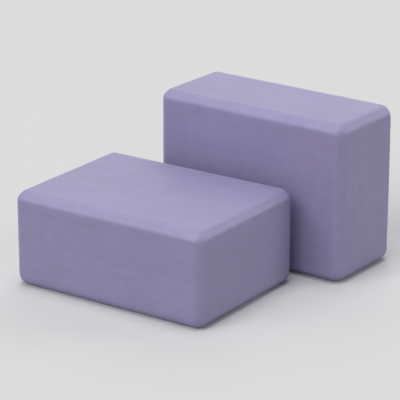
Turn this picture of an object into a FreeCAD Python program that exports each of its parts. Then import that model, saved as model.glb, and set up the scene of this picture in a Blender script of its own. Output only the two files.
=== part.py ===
import FreeCAD, Part
import Sketcher
import os

os.makedirs("parts", exist_ok=True)
doc = FreeCAD.newDocument("yoga_blocks")

# Driving dimensions in millimetres, the turn in degrees.
sizes = doc.addObject("Spreadsheet::Sheet", "sizes")
values = [
    ("block_length", 215.0, "longest edge of a block"),
    ("block_width", 158.0, "middle edge, upright on the standing block"),
    ("block_thickness", 94.0, "shortest edge, upright on the lying block"),
    ("edge_bevel", 7.0, "leg of the 45 degree bevel on every edge"),
    ("arris_radius", 3.5, "rounding of the lines where a bevel meets a face"),
    ("block_gap", 16.0, "clear space between the lying block's back and the standing block"),
    ("upright_shift", 44.5, "standing block's centre, along the lying block's length"),
    ("upright_turn", 2.0, "standing block's turn about the vertical, clockwise from above"),
]
for row, (alias, value, note) in enumerate(values, 1):
    sizes.set("A%d" % row, alias)
    sizes.set("B%d" % row, str(value))
    sizes.set("C%d" % row, note)
    sizes.setAlias("B%d" % row, alias)
doc.recompute()


def vec(x, y, z=0.0):
    return FreeCAD.Vector(x, y, z)


def origin_plane(body, role):
    return next(f for f in body.Origin.OriginFeatures if f.Role == role)


# A block is a centred rectangle padded up from the floor, then bevelled and softened all round.
def foam_block(name, depth_alias, height_alias):
    body = doc.addObject("PartDesign::Body", name)
    body.Label = name
    sketch = body.newObject("Sketcher::SketchObject", name + "_plan")
    sketch.AttachmentSupport = [(origin_plane(body, "XY_Plane"), "")]
    sketch.MapMode = "FlatFace"
    corners = [vec(-100, -70), vec(100, -70), vec(100, 70), vec(-100, 70)]
    for i in range(4):
        sketch.addGeometry(Part.LineSegment(corners[i], corners[(i + 1) % 4]), False)
    for i in range(4):
        sketch.addConstraint(Sketcher.Constraint("Coincident", i, 2, (i + 1) % 4, 1))
    for i in (0, 2):
        sketch.addConstraint(Sketcher.Constraint("Horizontal", i))
    for i in (1, 3):
        sketch.addConstraint(Sketcher.Constraint("Vertical", i))
    sketch.addConstraint(Sketcher.Constraint("Symmetric", 0, 1, 1, 2, -1, 1))
    length = sketch.addConstraint(Sketcher.Constraint("DistanceX", 0, 1, 0, 2, 200.0))
    depth = sketch.addConstraint(Sketcher.Constraint("DistanceY", 1, 1, 1, 2, 140.0))
    sketch.setExpression("Constraints[%d]" % length, "sizes.block_length")
    sketch.setExpression("Constraints[%d]" % depth, "sizes." + depth_alias)

    pad = body.newObject("PartDesign::Pad", name + "_bun")
    pad.Profile = sketch
    pad.setExpression("Length", "sizes." + height_alias)
    doc.recompute()

    bevel = body.newObject("PartDesign::Chamfer", name + "_bevel")
    bevel.Base = (pad, ["Edge1"])
    bevel.UseAllEdges = True
    bevel.setExpression("Size", "sizes.edge_bevel")
    doc.recompute()

    soft = body.newObject("PartDesign::Fillet", name + "_soft")
    soft.Base = (bevel, ["Edge1"])
    soft.UseAllEdges = True
    soft.setExpression("Radius", "sizes.arris_radius")
    doc.recompute()
    return body


flat = foam_block("flat_block", "block_width", "block_thickness")

# The standing block keeps its gap behind the lying one when either block is resized.
upright = foam_block("upright_block", "block_thickness", "block_width")
upright.Placement = FreeCAD.Placement(vec(0, 0), FreeCAD.Rotation(vec(0, 0, -1), 1.0))
upright.setExpression("Placement.Base.x", "sizes.upright_shift")
upright.setExpression("Placement.Base.y", "(sizes.block_width + sizes.block_thickness) / 2 + sizes.block_gap")
upright.setExpression("Placement.Rotation.Angle", "sizes.upright_turn * 1 deg")
doc.recompute()

for obj in doc.Objects:
    if "Invalid" in obj.State or "Error" in obj.State:
        raise RuntimeError("feature failed: %s" % obj.Label)

for body in (flat, upright):
    shape = body.Shape
    if shape.isNull() or not shape.isValid() or len(shape.Solids) != 1:
        raise RuntimeError("bad solid: %s" % body.Label)
    shape.exportStep("parts/%s.step" % body.Label)
    box = shape.BoundBox
    print(body.Label, round(shape.Volume), [round(v, 3) for v in (box.XMin, box.YMin, box.ZMin, box.XMax, box.YMax, box.ZMax)])
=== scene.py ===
import math
import random

import bpy
import numpy as np
from mathutils import Matrix, Vector, noise


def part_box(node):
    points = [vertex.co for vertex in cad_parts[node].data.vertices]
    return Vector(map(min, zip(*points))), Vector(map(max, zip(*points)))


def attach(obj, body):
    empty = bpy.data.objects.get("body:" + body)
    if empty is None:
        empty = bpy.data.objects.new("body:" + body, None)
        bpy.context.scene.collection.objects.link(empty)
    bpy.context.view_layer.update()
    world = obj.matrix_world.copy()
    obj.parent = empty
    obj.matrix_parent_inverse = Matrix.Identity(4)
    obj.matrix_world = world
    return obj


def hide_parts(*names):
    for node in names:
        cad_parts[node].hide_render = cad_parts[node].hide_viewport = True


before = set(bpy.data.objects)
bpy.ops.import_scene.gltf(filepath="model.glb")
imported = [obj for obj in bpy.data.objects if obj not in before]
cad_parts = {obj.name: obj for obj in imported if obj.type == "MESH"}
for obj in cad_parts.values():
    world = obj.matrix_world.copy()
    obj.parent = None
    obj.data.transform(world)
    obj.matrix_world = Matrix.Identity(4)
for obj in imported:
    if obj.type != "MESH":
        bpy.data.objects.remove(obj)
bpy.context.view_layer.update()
scene = bpy.context.scene
scene.view_settings.view_transform = "Standard"


# foam block shape, lengths in metres
foamShape = {
    "bevelLeg": 0.0068,      # routed 45 degree bevel on every edge
    "bevelDrift": 0.00030,   # how far the router wandered along an edge
    "driftScale": 26.0,
    "arrisBlend": 0.0020,    # softness of the lines beside a bevel
    "cornerCut": 1.85,       # how deep the eight corner facets lie, in bevel legs
    "cornerBlend": 0.0040,   # softness of the corner facets
    "rimExtra": 0.0095,      # flat strip kept between the bevel and the face grid
    "gridStep": 0.0036,
    "leastSteps": 4,
    # grid lines across the rim, closest together at the line beside the bevel
    "bevelSteps": (0.18, 0.34, 0.44, 0.50, 0.54, 0.58, 0.62, 0.66, 0.70, 0.76, 0.83, 0.91, 1.0),
    "pushLimit": 1.2,        # furthest that a grid point is pushed out, in rims
    "pushRounds": 40,
    "routedFade": 0.08,      # half the width of the change from face to bevel, in rims
    "faceWave": 0.00014,     # slow waviness of the sawn faces
    "waveScale": 17.0,
    "faceRipple": 0.00004,
    "rippleScale": 85.0,
    "noiseReach": 40.0,      # each block takes its waviness from its own place in the noise
    "dentCount": 9,          # small marks from handling
    "dentDepth": (0.00010, 0.00028),
    "dentWidth": (0.003, 0.008),
}


def smoothMax(a, b, width):
    gap = np.maximum(width - np.abs(a - b), 0.0)
    return np.maximum(a, b) + gap * gap / (4.0 * width)


def noiseAt(points, scale, shift):
    return np.array([noise.noise(Vector(p) * scale + shift) for p in points])


# how far a point of one corner octant lies outside the bevelled corner
def bevelledDepth(o, rim, leg):
    depth = np.maximum(np.maximum(o[:, 0], o[:, 1]), o[:, 2]) - rim
    for a, b in ((0, 1), (1, 2), (0, 2)):
        bevel = (o[:, a] + o[:, b] - 2.0 * rim + leg) / math.sqrt(2.0)
        depth = smoothMax(depth, bevel, foamShape["arrisBlend"])
    facet = (o.sum(axis=1) - 3.0 * rim + foamShape["cornerCut"] * leg) / math.sqrt(3.0)
    return smoothMax(depth, facet, foamShape["cornerBlend"])


# stations along one axis: where the inner box is, and how far the point leans out of it
def axisStations(half, rim):
    inner = half - rim
    count = max(foamShape["leastSteps"], round(2.0 * inner / foamShape["gridStep"]))
    flats = [(inner * (2.0 * i / count - 1.0), 0.0) for i in range(count + 1)]
    steps = foamShape["bevelSteps"]
    low = [(-inner, -t) for t in reversed(steps)]
    high = [(inner, t) for t in steps]
    return low + flats + high


# six face grids that share the points along their borders
def blockGrid(stations):
    last = [len(s) - 1 for s in stations]
    index = {}
    inner, lean, quads = [], [], []

    def pointAt(key):
        if key not in index:
            index[key] = len(inner)
            inner.append([stations[a][key[a]][0] for a in range(3)])
            lean.append([stations[a][key[a]][1] for a in range(3)])
        return index[key]

    for axis in range(3):
        u, v = (axis + 1) % 3, (axis + 2) % 3
        for end in (0, last[axis]):
            for i in range(last[u]):
                for j in range(last[v]):
                    ring = []
                    for di, dj in ((0, 0), (1, 0), (1, 1), (0, 1)):
                        key = [0, 0, 0]
                        key[axis], key[u], key[v] = end, i + di, j + dj
                        ring.append(pointAt(tuple(key)))
                    quads.append(ring if end else ring[::-1])
    return np.array(inner), np.array(lean), quads


# how far along its lean each point meets the bevelled skin
def pushOut(lean, rim, leg):
    reach = np.abs(lean)
    near, far = np.zeros(len(lean)), np.full(len(lean), foamShape["pushLimit"] * rim)
    for _ in range(foamShape["pushRounds"]):
        middle = (near + far) / 2.0
        outside = bevelledDepth(reach * middle[:, None], rim, leg) > 0.0
        far = np.where(outside, middle, far)
        near = np.where(outside, near, middle)
    return (near + far) / 2.0


# one where a point lies on a routed bevel, nought on a sawn face
def routedMask(lean, rim):
    second = np.sort(np.abs(lean), axis=1)[:, 1]
    arrisAt = 1.0 - foamShape["bevelLeg"] / rim
    fade = foamShape["routedFade"]
    mask = np.clip((second - arrisAt + fade) / (2.0 * fade), 0.0, 1.0)
    return mask * mask * (3.0 - 2.0 * mask)


def foamBlockMesh(name, size, seed):
    dice = random.Random(seed)
    far = foamShape["noiseReach"]
    shift = Vector([dice.uniform(-far, far) for _ in range(3)])
    rim = foamShape["bevelLeg"] + foamShape["rimExtra"]
    inner, lean, quads = blockGrid([axisStations(s / 2.0, rim) for s in size])

    drift = noiseAt(inner + lean * rim, foamShape["driftScale"], shift)
    leg = foamShape["bevelLeg"] + foamShape["bevelDrift"] * drift
    points = inner + lean * pushOut(lean, rim, leg)[:, None]

    wave = foamShape["faceWave"] * noiseAt(points, foamShape["waveScale"], shift)
    wave += foamShape["faceRipple"] * noiseAt(points, foamShape["rippleScale"], shift)
    for _ in range(foamShape["dentCount"]):
        spot = points[dice.randrange(len(points))]
        depth = dice.uniform(*foamShape["dentDepth"])
        width = dice.uniform(*foamShape["dentWidth"])
        away = np.linalg.norm(points - spot, axis=1) / width
        wave -= depth * np.exp(-away * away)
    outward = lean / np.linalg.norm(lean, axis=1)[:, None]
    half = np.array(size) / 2.0
    points = np.clip(points + outward * wave[:, None], -half, half)

    mesh = bpy.data.meshes.new(name)
    mesh.from_pydata(points.tolist(), [], quads)
    mesh.polygons.foreach_set("use_smooth", [True] * len(quads))
    mask = mesh.attributes.new("routed", "FLOAT", "POINT")
    mask.data.foreach_set("value", routedMask(lean, rim).astype(np.float32))
    mesh.update()
    return mesh


# lavender closed-cell foam
foamFinish = {
    "deep": (0.238, 0.21, 0.366, 1.0),
    "pale": (0.338, 0.299, 0.518, 1.0),
    "mottle": {"Scale": 21.0, "Detail": 4.0, "Roughness": 0.55},
    "haze": {"Scale": 120.0, "Detail": 3.0, "Roughness": 0.5},
    "streak": {"Scale": 1.0, "Detail": 3.0, "Roughness": 0.6},
    "streakStretch": (5.0, 150.0, 150.0),   # the saw ran along the block
    "grain": {"Scale": 2300.0, "Detail": 2.0, "Roughness": 0.6},
    "cells": {"Scale": 820.0},
    "fineCells": {"Scale": 2600.0},
    "pitWall": (0.42, 0.10),                # where a pit starts and where it is deepest
    "pitOpen": (0.40, 0.80),                # which of the cells are cut open
    "stippleWall": (0.50, 0.08),
    "toneShare": {
        "mottle": 0.55, "haze": 0.55, "streak": 0.45, "grain": 0.40,
        # painted shade in the hollows of the open cells
        "pits": -0.30, "stipple": -0.16,
    },
    "bevelPaleAndHighlight": 0.24,                     # the bevels are paler by this, partly their own routed tone and partly painted highlight for the light they catch
    "roughness": {"From_Min": 0.25, "From_Max": 0.75, "To_Min": 0.52, "To_Max": 0.62},
    "routedSmoother": 0.06,
    "heightShare": {"grain": 0.7, "pits": -0.8, "stipple": -0.3},
    "bump": {"Strength": 0.55, "Distance": 0.00022},
    "specular": 0.66,
    "sheen": 0.02,
    "sheenRoughness": 0.5,
}


def addNode(tree, kind, at, **sockets):
    node = tree.nodes.new(kind)
    node.location = at
    for key, value in sockets.items():
        node.inputs[key.replace("_", " ")].default_value = value
    return node


def mathNode(tree, operation, at, *values):
    node = addNode(tree, "ShaderNodeMath", at)
    node.operation = operation
    for socket, value in zip(node.inputs, values):
        if isinstance(value, (int, float)):
            socket.default_value = value
        else:
            tree.links.new(value, socket)
    return node.outputs[0]


def softStep(tree, at, source, start, end):
    node = addNode(tree, "ShaderNodeMapRange", at, From_Min=start, From_Max=end)
    node.interpolation_type = "SMOOTHSTEP"
    tree.links.new(source, node.inputs["Value"])
    return node.outputs["Result"]


# a noise that swings by its share about a middle value
def swing(tree, at, texture, share, middle=0.0):
    return mathNode(tree, "MULTIPLY_ADD", at, texture.outputs["Fac"], share, middle - share / 2.0)


def foamMaterial(name, offset):
    material = bpy.data.materials.new(name)
    material.use_nodes = True
    tree = material.node_tree
    link = tree.links.new
    skin = tree.nodes["Principled BSDF"]

    place = addNode(tree, "ShaderNodeTexCoord", (-1700, 0))
    mapping = addNode(tree, "ShaderNodeMapping", (-1500, 0), Location=offset)
    link(place.outputs["Object"], mapping.inputs["Vector"])
    spot = mapping.outputs["Vector"]

    mottle = addNode(tree, "ShaderNodeTexNoise", (-1200, 400), **foamFinish["mottle"])
    haze = addNode(tree, "ShaderNodeTexNoise", (-1200, 150), **foamFinish["haze"])
    grain = addNode(tree, "ShaderNodeTexNoise", (-1200, -100), **foamFinish["grain"])
    cells = addNode(tree, "ShaderNodeTexVoronoi", (-1200, -350), **foamFinish["cells"])
    fineCells = addNode(tree, "ShaderNodeTexVoronoi", (-1200, -500), **foamFinish["fineCells"])
    stretch = addNode(tree, "ShaderNodeMapping", (-1400, -650), Scale=foamFinish["streakStretch"])
    streak = addNode(tree, "ShaderNodeTexNoise", (-1200, -650), **foamFinish["streak"])
    for texture in (mottle, haze, grain, cells, fineCells, stretch):
        link(spot, texture.inputs["Vector"])
    link(stretch.outputs["Vector"], streak.inputs["Vector"])

    # open cells: some of the larger ones show as pits, the fine ones only as a faint stipple
    hollow = softStep(tree, (-950, -350), cells.outputs["Distance"], *foamFinish["pitWall"])
    opened = softStep(tree, (-950, -550), cells.outputs["Color"], *foamFinish["pitOpen"])
    pits = mathNode(tree, "MULTIPLY", (-750, -450), hollow, opened)
    stipple = softStep(tree, (-950, -700), fineCells.outputs["Distance"], *foamFinish["stippleWall"])

    # tone: slow mottling, haze, saw streaks and grain, with painted shade darkening the open cells
    share = foamFinish["toneShare"]
    tone = swing(tree, (-900, 400), mottle, share["mottle"], 0.5)
    for texture, part, y in ((haze, "haze", 200), (streak, "streak", 50), (grain, "grain", -100)):
        tone = mathNode(tree, "ADD", (-600, y), tone, swing(tree, (-750, y), texture, share[part]))
    # painted shade: the pits and the stipple darken the tone
    for source, part, y in ((pits, "pits", -250), (stipple, "stipple", -350)):
        shade = mathNode(tree, "MULTIPLY", (-600, y), source, share[part])
        tone = mathNode(tree, "ADD", (-450, y), tone, shade)

    # the bevels are painted a little paler, partly the router's own paler cut and partly painted highlight
    # for the light they catch, and the router leaves them smoother than the sawn faces
    routed = addNode(tree, "ShaderNodeAttribute", (-950, -900))
    routed.attribute_name = "routed"
    # painted highlight on the bevels, together with their own paler routed tone
    paleAndHighlight = mathNode(tree, "MULTIPLY", (-750, 550), routed.outputs["Fac"], foamFinish["bevelPaleAndHighlight"])
    tone = mathNode(tree, "ADD", (-450, 200), tone, paleAndHighlight)
    colour = addNode(tree, "ShaderNodeValToRGB", (-300, 200))
    colour.color_ramp.elements[0].color = foamFinish["deep"]
    colour.color_ramp.elements[1].color = foamFinish["pale"]
    link(tone, colour.inputs["Fac"])
    link(colour.outputs["Color"], skin.inputs["Base Color"])

    dull = addNode(tree, "ShaderNodeMapRange", (-600, -500), **foamFinish["roughness"])
    link(haze.outputs["Fac"], dull.inputs["Value"])
    smoother = mathNode(tree, "MULTIPLY", (-600, -750), routed.outputs["Fac"], foamFinish["routedSmoother"])
    roughness = mathNode(tree, "SUBTRACT", (-400, -550), dull.outputs["Result"], smoother)
    link(roughness, skin.inputs["Roughness"])

    # grain stands up, cells sink in
    rise = foamFinish["heightShare"]
    height = mathNode(tree, "MULTIPLY", (-600, -1000), grain.outputs["Fac"], rise["grain"])
    for source, part, y in ((pits, "pits", -1150), (stipple, "stipple", -1300)):
        sunk = mathNode(tree, "MULTIPLY", (-600, y), source, rise[part])
        height = mathNode(tree, "ADD", (-400, y), height, sunk)
    bump = addNode(tree, "ShaderNodeBump", (-200, -900), **foamFinish["bump"])
    link(height, bump.inputs["Height"])
    link(bump.outputs["Normal"], skin.inputs["Normal"])

    skin.inputs["Specular IOR Level"].default_value = foamFinish["specular"]
    skin.inputs["Sheen Weight"].default_value = foamFinish["sheen"]
    skin.inputs["Sheen Roughness"].default_value = foamFinish["sheenRoughness"]
    return material


def addObject(name, data):
    obj = bpy.data.objects.new(name, data)
    scene.collection.objects.link(obj)
    return obj


# tip and turn in degrees: tipped up about its length, then turned on the floor
def foamBlock(name, node, size, seed, grainShift, tip, turn):
    block = addObject(name, foamBlockMesh(name, size, seed))
    tipped = Matrix.Rotation(math.radians(tip), 4, "X")
    turned = Matrix.Rotation(math.radians(turn), 4, "Z")
    low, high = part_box(node)
    block.matrix_world = Matrix.Translation((low + high) / 2.0) @ turned @ tipped
    block.data.materials.append(foamMaterial(name + "Lavender", grainShift))
    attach(block, node)
    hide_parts(node)
    print(name, "has", len(block.data.polygons), "faces")


# both blocks are the same size, and the lying one is square to the frame
flatLow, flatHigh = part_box("flat_block")
blockSize = tuple(flatHigh - flatLow)

# lying block
lying = {"seed": 11, "grainShift": (0.31, 0.17, 0.05), "tip": 0.0, "turn": 0.0}
foamBlock("flatBlockFoam", "flat_block", blockSize, **lying)

# standing block: set up on its long narrow side and turned a little
standing = {"seed": 29, "grainShift": (1.73, 0.64, 0.92), "tip": 90.0, "turn": -2.0}
foamBlock("uprightBlockFoam", "upright_block", blockSize, **standing)


# one where a ray comes from the camera or a reflection, nought where it only carries light
def seenRay(tree):
    path = addNode(tree, "ShaderNodeLightPath", (-600, 400))
    rays = [path.outputs["Is %s Ray" % kind] for kind in ("Camera", "Glossy", "Transmission")]
    seen = mathNode(tree, "MAXIMUM", (-400, 400), rays[0], rays[1])
    return mathNode(tree, "MAXIMUM", (-200, 400), seen, rays[2])


# what is seen and what lights the blocks are two shaders
def splitByRay(tree, lighting, seen, target):
    mix = addNode(tree, "ShaderNodeMixShader", (300, 100))
    for socket, source in zip(mix.inputs, (seenRay(tree), lighting.outputs[0], seen.outputs[0])):
        tree.links.new(source, socket)
    tree.links.new(mix.outputs[0], target.inputs["Surface"])


# pale seamless floor
floorLook = {
    "half": 6.0,
    "colour": (0.706, 0.706, 0.708, 1.0),
    "bounce": (0.530, 0.530, 0.531, 1.0),   # what the floor sends back up at the blocks
    "roughness": 0.9,
    "specular": 0.0,
}


def paleFloor():
    h = floorLook["half"]
    mesh = bpy.data.meshes.new("paleFloor")
    mesh.from_pydata([(-h, -h, 0.0), (h, -h, 0.0), (h, h, 0.0), (-h, h, 0.0)], [], [(0, 1, 2, 3)])
    floor = addObject("paleFloor", mesh)
    material = bpy.data.materials.new("palePaper")
    material.use_nodes = True
    tree = material.node_tree
    skin = tree.nodes["Principled BSDF"]
    skin.inputs["Base Color"].default_value = floorLook["colour"]
    skin.inputs["Roughness"].default_value = floorLook["roughness"]
    skin.inputs["Specular IOR Level"].default_value = floorLook["specular"]
    dull = addNode(tree, "ShaderNodeBsdfDiffuse", (0, -300), Color=floorLook["bounce"])
    splitByRay(tree, dull, skin, tree.nodes["Material Output"])
    mesh.materials.append(material)


paleFloor()
print("floor laid")


# soft studio light: an overhead softbox, a high key with a fill on each side,
# a back light, a low rim and a dim room
studio = {
    "lamps": {
        "softbox": {"azimuth": 0.0, "elevation": 90.0, "energy": 1.18, "spread": 30.0},
        "key": {"azimuth": 343.0, "elevation": 44.0, "energy": 1.00, "spread": 43.0},
        "left": {"azimuth": 315.0, "elevation": 25.0, "energy": 0.27, "spread": 50.0},
        "fill": {"azimuth": 15.0, "elevation": 25.0, "energy": 0.55, "spread": 50.0},
        "back": {"azimuth": 206.0, "elevation": 41.0, "energy": 0.64, "spread": 50.0},
        "rim": {"azimuth": 133.0, "elevation": 12.0, "energy": 0.80, "spread": 28.0},
    },
    "room": 0.125,
    "roomColour": (1.0, 1.0, 1.0, 1.0),
    "backdrop": (0.900, 0.900, 0.902, 1.0),
}


# unit vector out to a lamp or the camera, azimuth from the front towards the right
def towards(azimuth, elevation):
    a, e = math.radians(azimuth), math.radians(elevation)
    return Vector((math.sin(a) * math.cos(e), -math.cos(a) * math.cos(e), math.sin(e)))


def softLamp(name, azimuth, elevation, energy, spread):
    lamp = bpy.data.lights.new(name, "SUN")
    lamp.energy = energy
    lamp.angle = math.radians(spread)
    holder = addObject(name, lamp)
    holder.rotation_mode = "QUATERNION"
    holder.rotation_quaternion = towards(azimuth, elevation).to_track_quat("Z", "Y")


def roomLight():
    world = bpy.data.worlds.new("room")
    scene.world = world
    world.use_nodes = True
    tree = world.node_tree
    dim = tree.nodes["Background"]
    dim.inputs["Color"].default_value = studio["roomColour"]
    dim.inputs["Strength"].default_value = studio["room"]
    backdrop = addNode(tree, "ShaderNodeBackground", (0, 200), Color=studio["backdrop"], Strength=1.0)
    splitByRay(tree, dim, backdrop, tree.nodes["World Output"])


for lampName, lampLook in studio["lamps"].items():
    softLamp(lampName, **lampLook)
roomLight()
print("studio lit")


# camera at the photograph's angle, worked out from the blocks' straight edges
lookout = {
    "azimuth": 34.43,
    "elevation": 19.23,
    "distance": 2.1063,
    "across": 0.0435,
    "above": 0.0789,
    "lens": 198.0,
    "sensor": 36.0,
}


def photoCamera():
    a = math.radians(lookout["azimuth"])
    back = towards(lookout["azimuth"], lookout["elevation"])
    right = Vector((math.cos(a), math.sin(a), 0.0))
    up = back.cross(right)
    data = bpy.data.cameras.new("photoCamera")
    data.sensor_width = lookout["sensor"]
    data.lens = lookout["lens"]
    camera = addObject("photoCamera", data)
    turn = Matrix((right, up, back)).transposed().to_4x4()
    eye = back * lookout["distance"] + right * lookout["across"] + up * lookout["above"]
    camera.matrix_world = Matrix.Translation(eye) @ turn
    scene.camera = camera


photoCamera()
print("camera set")
